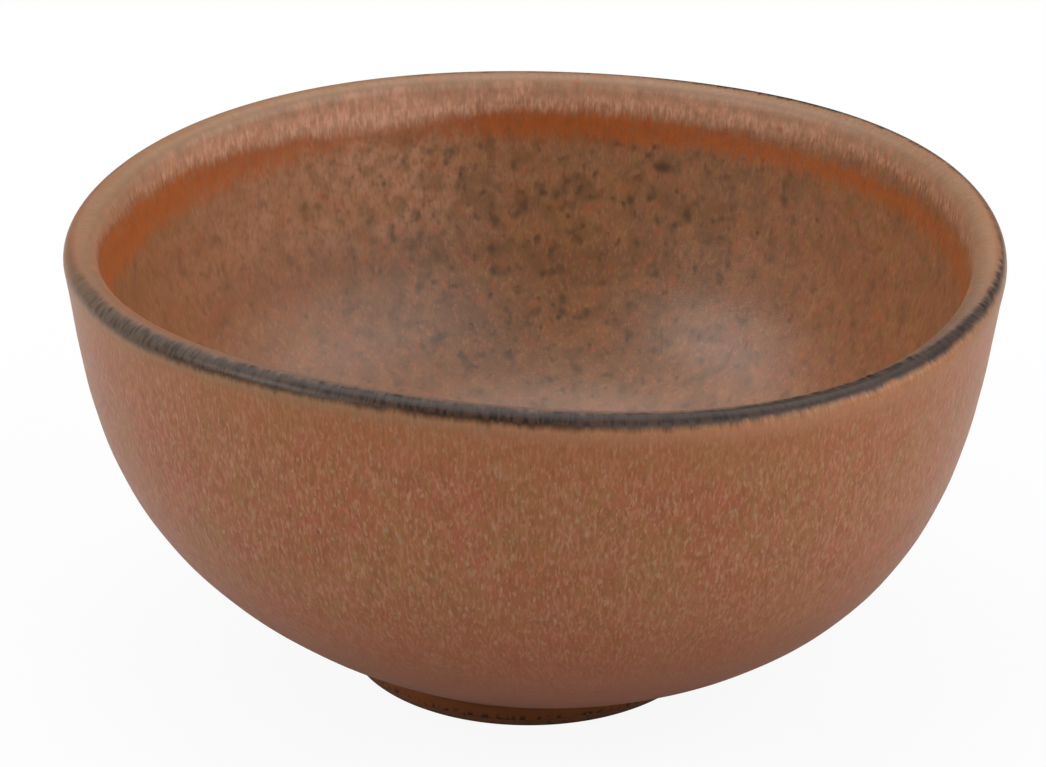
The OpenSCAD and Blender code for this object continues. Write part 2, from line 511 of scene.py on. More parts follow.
@dataclass(frozen=True)
class Turner:
    """Turns half sections into closed meshes, each with its place on the glaze kept in an attribute.

    The pattern on the glaze has its true scale round the bowl at rim_r, and closes up inside core_r.
    """

    rim_r: float
    core_r: float

    @property
    def phi(self) -> Array:
        """The angles of the steps round the bowl."""
        return np.linspace(0.0, 2 * math.pi, COLUMNS, endpoint=False)

    def turn(self, name: str, section: Section, setting: Level) -> bpy.types.Object:
        """Makes a closed mesh object of a section.

        Args:
            name: Name of the piece.
            section: The half section.
            setting: Where the section's points go in space.

        Returns:
            The new object, at the origin, with its place in its mesh.
        """
        phi = self.phi[None, :]
        points = setting.place(section.radius, section.height, phi)
        spread = self.rim_r * (1.0 - np.exp(-((section.radius / self.core_r) ** 2)))
        way = section.way[:, None]
        spot = np.stack(np.broadcast_arrays(spread * np.cos(phi), spread * np.sin(phi), way), axis=-1)
        rows = len(points)
        grids = {line.name: np.repeat(line.at(self.phi)[None, :, None], rows, axis=0) for line in LINES}
        grids[PLACE] = spot
        if section.capped:
            points, faces = self._capped(points)
            kept = {label: self._capped(grid)[0] for label, grid in grids.items()}
        else:
            faces = self._quads(rows, wrapped=True)
            points = points.reshape(-1, 3)
            kept = {label: grid.reshape(-1, grid.shape[-1]) for label, grid in grids.items()}
        return self._object(name, points, faces, kept)

    def _quads(self, rows: int, wrapped: bool, first: int = 0) -> list[list[int]]:
        """Lists the quads of a grid, closed round the bowl and, where wrapped, from the last row to row 0.

        Args:
            rows: Rows of the grid.
            wrapped: True for a grid that is closed up the section too.
            first: Index of the grid's first vertex.

        Returns:
            The vertices of each quad.
        """
        row = np.arange(rows if wrapped else rows - 1)[:, None]
        column = np.arange(COLUMNS)[None, :]
        near, far = row * COLUMNS, (row + 1) % rows * COLUMNS
        right = (column + 1) % COLUMNS
        quads = np.stack([near + column, near + right, far + right, far + column], axis=-1)
        return (quads.reshape(-1, 4) + first).tolist()

    def _capped(self, grid: Array) -> tuple[Array, list[list[int]]]:
        """Closes a grid whose first and last rows lie on the axis, with one vertex and a fan at each.

        Args:
            grid: Values on the grid, rows by steps round the bowl.

        Returns:
            The values of the vertices, and the faces.
        """
        body = grid[1:-1].reshape(-1, grid.shape[-1])
        points = np.concatenate([grid[:1].mean(axis=1), body, grid[-1:].mean(axis=1)])
        column = np.arange(COLUMNS)
        right = (column + 1) % COLUMNS
        last_row = 1 + (len(grid) - 3) * COLUMNS
        end = np.full_like(column, len(points) - 1)
        first_fan = np.stack([np.zeros_like(column), 1 + right, 1 + column], axis=1)
        last_fan = np.stack([last_row + column, last_row + right, end], axis=1)
        quads = self._quads(len(grid) - 2, wrapped=False, first=1)
        return points, first_fan.tolist() + quads + last_fan.tolist()

    @staticmethod
    def _object(name: str, points: Array, faces: list[list[int]],
                kept: dict[str, Array]) -> bpy.types.Object:
        """Writes the mesh in metres, smooth but for its sharp turns, with its attributes, and links it.

        Args:
            name: Name of the object and its mesh.
            points: Its vertices, in millimetres.
            faces: The vertices of each face.
            kept: Values of each attribute at the vertices.

        Returns:
            The new object.
        """
        mesh = bpy.data.meshes.new(name)
        mesh.from_pydata((points * MM).tolist(), [], faces)
        mesh.shade_smooth()
        mesh.set_sharp_from_angle(angle=SHARP_ANGLE)
        for label, values in kept.items():
            vector = values.shape[-1] == 3
            attribute = mesh.attributes.new(label, "FLOAT_VECTOR" if vector else "FLOAT", "POINT")
            attribute.data.foreach_set("vector" if vector else "value", values.astype(np.float32).ravel())
        mesh.update()
        return add_object(name, mesh)


class Kind(Enum):
    """What a shader socket carries, with the index of its output on a Mix node."""

    NUMBER = 0
    VECTOR = 1
    COLOUR = 2


class Tint(Enum):
    """Colours of the clay and the glaze as they show, in red, green and blue from 0 to 255."""

    TERRACOTTA = (139, 79, 43)
    OLIVE = (130, 95, 50)
    ROSE = (148, 80, 58)
    AMBER = (142, 89, 50)
    SALMON = (162, 107, 80)
    TAN = (156, 118, 90)
    # Umber colours flecks and a warm belt inside, and is also painted on as shade just above the crease.
    UMBER = (114, 62, 27)
    # A grey-brown used for flecks on the outside, and as the painted highlight on the dark band.
    SMUDGE_AND_HIGHLIGHT = (134, 114, 92)
    IRON = (62, 48, 36)
    FRINGE = (130, 98, 70)
    CHARCOAL = (30, 21, 18)
    MAUVE = (80, 66, 61)
    ASH = (104, 102, 94)
    CREST = (123, 90, 68)
    MOSS = (116, 98, 76)
    PINK = (180, 131, 104)
    PALE_PINK = (194, 149, 124)
    RUST = (147, 71, 19)
    BROWN = (123, 79, 52)
    DUN = (166, 120, 90)
    OCHRE = (136, 92, 56)
    DUSK = (112, 74, 50)
    BRICK = (146, 78, 46)
    MURK = (100, 70, 40)
    INK = (50, 38, 24)
    FOOT = (124, 68, 30)
    LOW_WALL = (126, 58, 5)
    BARE_CLAY = (92, 60, 38)
    RING_CLAY = (108, 64, 34)
    GROG = (60, 48, 40)
    SLIP = (92, 66, 50)
    WHITE = (255, 255, 255)

    def linear(self) -> tuple[float, float, float, float]:
        """Gives the colour as the shader takes it, in linear light with full alpha.

        Returns:
            Red, green, blue and alpha, from 0 to 1.
        """
        parts = [byte / 255.0 for byte in self.value]
        bright = [p / 12.92 if p <= 0.04045 else ((p + 0.055) / 1.055) ** 2.4 for p in parts]
        return bright[0], bright[1], bright[2], 1.0


@dataclass(frozen=True)
class Wire:
    """An output socket of a shader graph, with arithmetic that adds the nodes it needs."""

    graph: Graph
    socket: bpy.types.NodeSocket
    kind: Kind

    def __add__(self, other: Wired) -> Wire:
        """Adds another value."""
        return self.graph.combine("ADD", self, other)

    def __radd__(self, other: Wired) -> Wire:
        """Adds this to a plain value."""
        return self.graph.combine("ADD", other, self)

    def __sub__(self, other: Wired) -> Wire:
        """Takes another value away."""
        return self.graph.combine("SUBTRACT", self, other)

    def __rsub__(self, other: Wired) -> Wire:
        """Takes this away from a plain value."""
        return self.graph.combine("SUBTRACT", other, self)

    def __mul__(self, other: Wired) -> Wire:
        """Multiplies by another value."""
        return self.graph.combine("MULTIPLY", self, other)

    def __rmul__(self, other: Wired) -> Wire:
        """Multiplies a plain value by this."""
        return self.graph.combine("MULTIPLY", other, self)

    def step(self, low: Wired, high: Wired) -> Wire:
        """Gives a smooth step from 0 at low to 1 at high.

        Args:
            low: Where it starts to rise.
            high: Where it is full.

        Returns:
            The step.
        """
        settings = {"interpolation_type": "SMOOTHSTEP", "clamp": True}
        inputs = {"Value": self, "From Min": low, "From Max": high}
        return self.graph.wire("ShaderNodeMapRange", settings, inputs)

    def mixed(self, other: Wired, mask: Wired) -> Wire:
        """Gives this colour turned towards another by a mask from 0 to 1."""
        return self.graph.mix("MIX", self, other, mask)

    def part(self, axis: int) -> Wire:
        """Gives one component of a vector."""
        return self.graph.wire("ShaderNodeSeparateXYZ", {}, {0: self}, output=axis)


class Graph:
    """The nodes of one material or world."""

    def __init__(self, owner: bpy.types.Material | bpy.types.World) -> None:
        """Takes over the node tree of a material or world, and empties it.

        Args:
            owner: What the tree belongs to.
        """
        owner.use_nodes = True
        self.tree = owner.node_tree
        self.tree.nodes.clear()

    @classmethod
    def of_material(cls, name: str, mesh: bpy.types.Mesh) -> Graph:
        """Gives a mesh a new material and takes over its tree.

        Args:
            name: Name of the material.
            mesh: The mesh that wears it.

        Returns:
            The material's empty graph.
        """
        material = bpy.data.materials.new(name)
        mesh.materials.append(material)
        return cls(material)

    def wire(self, kind: str, settings: Mapping[str, Any], inputs: Mapping[str | int, Any],
             output: int = 0, carries: Kind = Kind.NUMBER) -> Wire:
        """Adds a node of any type and wraps one of its outputs.

        Args:
            kind: The node's type.
            settings: Its own settings, which are set first.
            inputs: Values or links of its sockets, by name or index.
            output: Index of the output.
            carries: What that output carries.

        Returns:
            The wrapped output.
        """
        made = self.tree.nodes.new(kind)
        for name, value in settings.items():
            setattr(made, name, value)
        for key, value in inputs.items():
            if isinstance(value, Wire):
                self.tree.links.new(value.socket, made.inputs[key])
            else:
                made.inputs[key].default_value = value
        return Wire(self, made.outputs[output], carries)

    def combine(self, operation: str, left: Wired, right: Wired) -> Wire:
        """Works out left and right together, by Math, Vector Math or Mix as what they carry asks.

        Args:
            operation: ADD, SUBTRACT or MULTIPLY.
            left: The first value.
            right: The second value.

        Returns:
            The result, a colour or a vector if either side is one.
        """
        kinds = [side.kind for side in (left, right) if isinstance(side, Wire)]
        if Kind.COLOUR in kinds:
            return self.mix(operation, left, right, 1.0)
        if Kind.VECTOR in kinds:
            return self.wire("ShaderNodeVectorMath", {"operation": operation}, {0: left, 1: right},
                             carries=Kind.VECTOR)
        return self.wire("ShaderNodeMath", {"operation": operation}, {0: left, 1: right})

    def mix(self, blend: str, left: Wired, right: Wired, mask: Wired) -> Wire:
        """Adds a colour Mix node, where a number stands for a grey.

        Args:
            blend: MIX, or how the sides are worked out together.
            left: The first side.
            right: The second side.
            mask: Share of the result that shows, from 0 to 1.

        Returns:
            The colour.
        """
        settings = {"data_type": "RGBA", "blend_type": blend, "clamp_result": False}
        inputs = {0: mask, 6: left, 7: right}
        return self.wire("ShaderNodeMix", settings, inputs, output=Kind.COLOUR.value, carries=Kind.COLOUR)

    def noise(self, at: Wire, size: float, detail: float, roughness: float) -> Wire:
        """Adds a noise pattern with cells of a size, in the same unit as the place it is read at."""
        inputs = {"Vector": at, "Scale": 1.0 / size, "Detail": detail, "Roughness": roughness}
        return self.wire("ShaderNodeTexNoise", {"noise_dimensions": "3D"}, inputs)

    def place(self) -> Wire:
        """Gives the place on the object itself, in millimetres."""
        return self.wire("ShaderNodeTexCoord", {}, {}, output=3, carries=Kind.VECTOR) * TO_MM

    def bump(self, height: Wire) -> Wire:
        """Gives the normal of a skin that rises by a height in millimetres."""
        inputs = {"Strength": 1.0, "Distance": MM, "Height": height}
        return self.wire("ShaderNodeBump", {}, inputs, carries=Kind.VECTOR)

    def shader(self, kind: str, inputs: Mapping[str | int, Any]) -> Wire:
        """Adds a shader, whose socket a Mix Shader or an output node takes."""
        return self.wire(kind, {}, inputs, carries=Kind.COLOUR)

    def end(self, kind: str, surface: Wire) -> None:
        """Adds the tree's output, a node of a kind, and sends a shader to it."""
        self.tree.links.new(surface.socket, self.tree.nodes.new(kind).inputs["Surface"])

    def coat(self, inputs: Mapping[str | int, Any]) -> None:
        """Makes the whole material one Principled shader."""
        self.end("ShaderNodeOutputMaterial", self.shader("ShaderNodeBsdfPrincipled", inputs))


@dataclass(frozen=True)
class Belt:
    """A belt of colour round the bowl between two ways from the crest, with streaky edges.

    Start is the edge nearer the middle of the floor. Each soft value is the width over which that edge fades.
    Feather is how far fine streaks carry the edges up and down, and wander is the same for broad ones. The
    streaked share of a belt's strength shows only in the fine streaks. Below zero, it is the share that is
    added between them.
    """

    tint: Tint
    start: Line | float
    end: Line | float
    soft_start: float
    soft_end: float
    feather: float
    wander: float
    strength: Line | float
    streaked: float = 0.0


@dataclass(frozen=True)
class Scatter:
    """Flecks of one colour: the cell of noise that shapes them, and the part of it that shows.

    Width and length are the cell's, in millimetres. The noise shows from low, and fully at high. Flecks that
    run are drawn out down the wall, as the glaze flowed.
    """

    tint: Tint
    width: float
    length: float
    low: float
    high: float
    strength: float
    seed: float
    runs: bool = False


BAND_TOP = Line(
    "band_top",
    (0, 20, 40, 50, 66, 76, 90, 100, 112, 150, 180, 205, 215, 226, 236, 245, 256, 270, 280, 290, 300, 308,
     315, 322, 330, 338, 346, 354),
    (1.2, 0.55, 0.2, 0.0, 0.0, 0.35, 0.3, 0.25, 0.6, 0.9, 1.2, 0.8, 0.8, 0.8, 0.7, 0.6, 0.45, 0.4, 0.3, 0.0,
     -0.5, -0.9, -0.9, -0.5, 0.1, 0.6, 1.15, 1.6),
)
BAND_FOOT = Line(
    "band_foot",
    (20, 150, 200, 210, 222, 236, 250, 262, 275, 285, 295, 305, 312, 318, 325, 335, 345, 355),
    (2.4, 2.5, 2.9, 3.05, 3.15, 2.9, 2.7, 2.6, 2.6, 2.4, 2.05, 1.85, 1.7, 1.6, 1.65, 1.85, 2.1, 2.3),
)
BAND_SHARE = Line(
    "band_share",
    (5, 15, 45, 68, 76, 110, 150, 180, 196, 206, 214, 236, 252, 350, 357),
    (0.5, 0.7, 1.0, 1.0, 0.75, 0.85, 0.5, 0.2, 0.45, 0.8, 0.88, 0.96, 1.0, 1.0, 0.7),
)
# Strength of the mauve belt round the bowl: the glaze's own mauve grey on the crest, and a painted highlight
# where it lies, lighter than the band, over the top of the dark band.
CREST_MAUVE_AND_HIGHLIGHT = Line(
    "crest_mauve_and_highlight",
    (0, 182, 205, 222, 236, 246, 285, 300, 325, 338, 350),
    (0.0, 0.0, 0.42, 0.55, 0.7, 0.9, 0.85, 0.9, 0.9, 0.6, 0.0),
)
MAUVE_TOP = Line(
    "mauve_top",
    (20, 180, 200, 220, 232, 246, 262, 330, 345),
    (-2.0, -1.2, -0.8, -0.8, -0.7, -0.8, -1.2, -1.4, -1.8),
)
CREST_FOOT = Line(
    "crest_foot",
    (0, 20, 150, 175, 190, 200, 212, 225, 238, 250, 300, 345),
    (-2.0, -2.3, -2.3, -2.0, -1.2, -0.2, 0.0, -0.3, -0.7, -1.0, -1.5, -2.0),
)
FRINGE_SHARE = Line(
    "fringe_share", (10, 180, 205, 250, 268, 285, 312, 340), (0.5, 0.5, 0.9, 0.85, 0.6, 0.35, 0.35, 0.55),
)
RUST_TOP = Line(
    "rust_top",
    (0, 15, 30, 45, 60, 70, 80, 97, 108, 118, 127, 140, 155, 170, 183, 195, 210, 225, 238, 255, 300, 345),
    (-6.0, -6.8, -7.6, -8.1, -7.5, -6.6, -6.2, -6.4, -7.7, -8.3, -7.1, -6.5, -5.8, -5.2, -4.3, -2.4, 0.1, 0.1,
     -0.5, -3.0, -5.0, -5.5),
)
RUST_FOOT = Line(
    "rust_foot",
    (0, 30, 60, 80, 97, 110, 130, 150, 170, 185, 270, 340),
    (-10.8, -10.6, -11.0, -11.4, -11.2, -10.6, -11.4, -12.0, -12.3, -12.5, -11.5, -11.0),
)
RUST_SHARE = Line(
    "rust_share",
    (0, 15, 30, 45, 60, 72, 97, 103, 112, 120, 128, 140, 160, 185, 235, 300, 345),
    (0.6, 0.65, 0.78, 0.92, 0.87, 0.90, 0.88, 0.55, 0.36, 0.48, 0.75, 0.82, 0.9, 0.9, 0.95, 0.7, 0.6),
)
PINK_FOOT = Line(
    "pink_foot",
    (0, 30, 45, 60, 75, 97, 108, 118, 127, 140, 155, 170, 183, 195, 210, 255, 345),
    (-4.8, -4.8, -5.6, -6.2, -5.9, -6.1, -8.0, -8.3, -6.8, -6.0, -5.2, -4.5, -3.6, -2.2, -0.4, -1.6, -4.0),
)
PINK_SHARE = Line(
    "pink_share",
    (0, 20, 45, 60, 80, 105, 125, 150, 165, 200, 230, 340),
    (0.35, 0.5, 0.75, 0.9, 0.85, 1.0, 1.0, 0.9, 0.55, 0.4, 0.3, 0.35),
)
DUN_SHARE = Line(
    "dun_share", (60, 70, 95, 106, 125, 150, 168, 260, 300), (0.1, 0.2, 0.3, 0.9, 0.9, 0.4, 0.1, 0.1, 0.0),
)
LOW_SHARE = Line("low_share", (20, 200, 240, 258, 302, 322, 342), (0.5, 0.5, 0.6, 0.95, 0.95, 0.65, 0.5))
PALE_SHARE = Line("pale_share", (250, 264, 280, 300, 330, 345), (0.0, 0.1, 0.40, 0.50, 0.1, 0.0))
WARM_SHARE = Line("warm_share", (112, 135, 175, 200), (0.0, 0.22, 0.25, 0.0))
# Painted highlight: how strongly a pale grey streak along the top of the dark band shows, round the bowl.
BAND_HIGHLIGHT_SHARE = Line(
    "band_highlight_share", (205, 215, 235, 246, 284, 303, 316, 332), (0.0, 0.03, 0.03, 0.0, 0.0, 0.07, 0.04, 0.0),
)
ASH_SHARE = Line(
    "ash_share", (190, 200, 217, 230, 328, 338, 350, 358), (0.0, 0.10, 0.08, 0.0, 0.0, 0.07, 0.10, 0.0),
)
BAND = Belt(Tint.CHARCOAL, BAND_TOP, BAND_FOOT, 0.50, 0.50, 0.27, 0.18, BAND_SHARE, 0.14)
DUN = Belt(Tint.DUN, -26.0, -9.0, 7.0, 2.0, 0.8, 1.5, DUN_SHARE)
BELTS = (
    Belt(Tint.UMBER, -36.0, -11.0, 6.0, 2.0, 0.8, 1.5, WARM_SHARE),
    Belt(Tint.AMBER, 3.2, 9.0, 0.8, 4.0, 0.4, 1.0, 0.35),
    Belt(Tint.FRINGE, 1.0, 4.0, 0.5, 1.2, 0.25, 0.4, FRINGE_SHARE, 0.1),
    Belt(Tint.RUST, RUST_FOOT, RUST_TOP, 1.8, 1.1, 0.9, 0.7, RUST_SHARE, 0.3),
    Belt(Tint.PINK, PINK_FOOT, -1.6, 1.8, 0.9, 0.40, 0.5, PINK_SHARE, 0.1),
    Belt(Tint.PALE_PINK, PINK_FOOT, -2.2, 1.4, 0.8, 0.35, 0.3, 0.35, 1.0),
    Belt(Tint.CREST, CREST_FOOT, 1.3, 0.7, 0.6, 0.2, 0.3, 0.9, 0.2),
    Belt(Tint.MOSS, -3.4, 0.4, 1.3, 0.8, 0.3, 1.3, 0.65, 0.6),
    Belt(Tint.BRICK, -3.4, 0.8, 1.0, 0.8, 0.6, 1.2, 0.15, 1.0),
    # The mauve belt: the glaze's mauve grey on the crest, and over the top of the dark band a painted
    # highlight.
    Belt(Tint.MAUVE, MAUVE_TOP, 1.5, 0.45, 0.5, 0.15, 0.15, CREST_MAUVE_AND_HIGHLIGHT, 0.2),
    Belt(Tint.SALMON, 2.6, 4.4, 0.4, 1.1, 0.1, 0.3, PALE_SHARE),
    BAND,
    # Painted highlight along the top of the dark band, standing in for the lamps' glint on the lip.
    Belt(Tint.SMUDGE_AND_HIGHLIGHT, -0.2, 1.3, 0.3, 0.5, 0.1, 0.1, BAND_HIGHLIGHT_SHARE, 0.3),
    Belt(Tint.ASH, 0.9, 2.8, 0.4, 0.4, 0.2, 0.1, ASH_SHARE, -2.5),
)
BELT_VALUES = [value for belt in (DUN, *BELTS) for value in (belt.start, belt.end, belt.strength)]
LINES = (LOW_SHARE, *(value for value in BELT_VALUES if isinstance(value, Line)))
OUTSIDE_FLECKS = (
    Scatter(Tint.OLIVE, 13.0, 16.0, 0.44, 0.64, 0.45, 11.0),
    Scatter(Tint.ROSE, 6.0, 9.0, 0.44, 0.66, 0.40, 23.0),
    Scatter(Tint.UMBER, 2.8, 3.8, 0.46, 0.68, 0.30, 27.0),
    Scatter(Tint.OLIVE, 1.4, 2.0, 0.48, 0.68, 0.52, 31.0, runs=True),
    Scatter(Tint.ROSE, 1.1, 1.8, 0.50, 0.68, 0.42, 37.0, runs=True),
    Scatter(Tint.UMBER, 0.50, 1.5, 0.46, 0.66, 0.38, 43.0, runs=True),
    Scatter(Tint.SALMON, 0.50, 1.6, 0.48, 0.66, 0.48, 53.0, runs=True),
    Scatter(Tint.TAN, 0.50, 1.3, 0.58, 0.72, 0.60, 59.0, runs=True),
    Scatter(Tint.SMUDGE_AND_HIGHLIGHT, 1.2, 1.6, 0.62, 0.84, 0.50, 61.0),
    Scatter(Tint.IRON, 0.7, 1.1, 0.74, 0.80, 0.50, 67.0),
)
INSIDE_FLECKS = (
    Scatter(Tint.OCHRE, 7.0, 8.0, 0.44, 0.62, 0.45, 71.0),
    Scatter(Tint.BRICK, 1.9, 2.4, 0.50, 0.72, 0.34, 83.0),
    Scatter(Tint.OLIVE, 2.2, 2.6, 0.50, 0.70, 0.42, 89.0),
    Scatter(Tint.DUSK, 1.0, 1.4, 0.50, 0.72, 0.45, 91.0),
    Scatter(Tint.DUSK, 0.50, 1.7, 0.48, 0.68, 0.38, 97.0),
    Scatter(Tint.PINK, 0.50, 1.8, 0.52, 0.70, 0.15, 101.0),
    Scatter(Tint.RUST, 2.1, 2.6, 0.55, 0.90, 0.42, 113.0),
)
LIP_FLECKS = (
    Scatter(Tint.MOSS, 1.3, 2.0, 0.47, 0.70, 0.32, 137.0, runs=True),
    Scatter(Tint.RUST, 0.8, 1.6, 0.53, 0.76, 0.26, 139.0, runs=True),
)
INSIDE_SPECKS = (
    Scatter(Tint.MURK, 3.4, 3.8, 0.46, 0.70, 0.60, 121.0),
    Scatter(Tint.INK, 2.6, 3.0, 0.52, 0.90, 0.95, 127.0),
    Scatter(Tint.INK, 1.4, 1.8, 0.55, 0.90, 0.85, 131.0),
)


class GlazeField:
    """Places and patterns on the glazed skin of one material.

    Each pattern of streaks is given by the width and length of its cell, in millimetres, its seed and its
    detail. A feather or wander of 1 mm in a belt is about that far on the skin, by the two gains.
    """

    fine = (0.36, 2.0, 5.0, 1.5)
    fine_share = 0.7
    middle = (0.8, 1.7, 7.0, 1.0)
    middle_share = 0.8
    wide = (2.6, 7.0, 9.0, 1.0)
    streak_roughness = 0.55
    streak_range = (-0.10, 0.16)
    feather_gain = 3.0
    wander_gain = 4.0

    def __init__(self, graph: Graph) -> None:
        """Adds the nodes that read a place on the glaze.

        Args:
            graph: The material's graph.
        """
        self.graph = graph
        self.at = graph.place()
        self.around = graph.wire("ShaderNodeAttribute", {"attribute_name": PLACE}, {}, output=1,
                                 carries=Kind.VECTOR)
        self.way = self.around.part(2)
        fine = self.streaks(*self.fine) - 0.5
        middle = self.streaks(*self.middle) - 0.5
        self.run = fine * self.fine_share + middle * self.middle_share
        self.broad = self.streaks(*self.wide) - 0.5

    def line(self, value: Line | float) -> Wired:
        """Reads a value that may change round the bowl.

        Args:
            value: A line, or a plain number.

        Returns:
            The line's value at each place, or the number as it is.
        """
        if isinstance(value, Line):
            return self.graph.wire("ShaderNodeAttribute", {"attribute_name": value.name}, {}, output=2)
        return value

    def grain(self, width: float, length: float, seed: float, detail: float = 1.0,
              roughness: float = 0.5) -> Wire:
        """Gives noise on the piece itself, drawn out along upright walls and round on level ones."""
        squeezed = self.at * (1.0, 1.0, width / length) + (seed, seed, seed)
        return self.graph.noise(squeezed, width, detail, roughness)

    def streaks(self, width: float, length: float, seed: float, detail: float = 1.0) -> Wire:
        """Gives noise drawn out down the wall and over the lip, as glaze runs."""
        squeezed = self.around * (1.0, 1.0, width / length) + (seed, seed, seed)
        return self.graph.noise(squeezed, width, detail, self.streak_roughness)

    def scattered(self, colour: Wired, flecks: tuple[Scatter, ...], mask: Wired = 1.0) -> Wire:
        """Lays each kind of fleck over a colour.

        Args:
            colour: The colour below.
            flecks: The kinds of fleck, in the order in which they go on.
            mask: Where they show, from 0 to 1.

        Returns:
            The flecked colour.
        """
        for fleck in flecks:
            pattern = self.streaks if fleck.runs else self.grain
            shape = pattern(fleck.width, fleck.length, fleck.seed)
            share = shape.step(fleck.low, fleck.high) * fleck.strength * mask
            colour = self.graph.mix("MIX", colour, fleck.tint.linear(), share)
        return colour

    def belt_mask(self, belt: Belt) -> Wire:
        """Gives a belt's mask: a smooth step up at its start, times one down at its end, streaked.

        Args:
            belt: The belt.

        Returns:
            How strongly it shows, from 0 to 1.
        """
        feather = self.run * (self.feather_gain * belt.feather)
        way = self.way + feather + self.broad * (self.wander_gain * belt.wander)
        start = self.line(belt.start)
        end = self.line(belt.end)
        rise = way.step(start - belt.soft_start, start + belt.soft_start)
        fall = way.step(end - belt.soft_end, end + belt.soft_end)
        mask = rise * (1.0 - fall) * self.line(belt.strength)
        if belt.streaked:
            mask = mask * (self.run.step(*self.streak_range) * belt.streaked + (1.0 - belt.streaked))
        return mask


class Coating(Enum):
    """Where on the bowl a coat of glaze is, with the strength of its gloss there."""

    OUTSIDE = 0.24
    LIP = 0.22
    INSIDE = 0.46
    BAND = 0.19


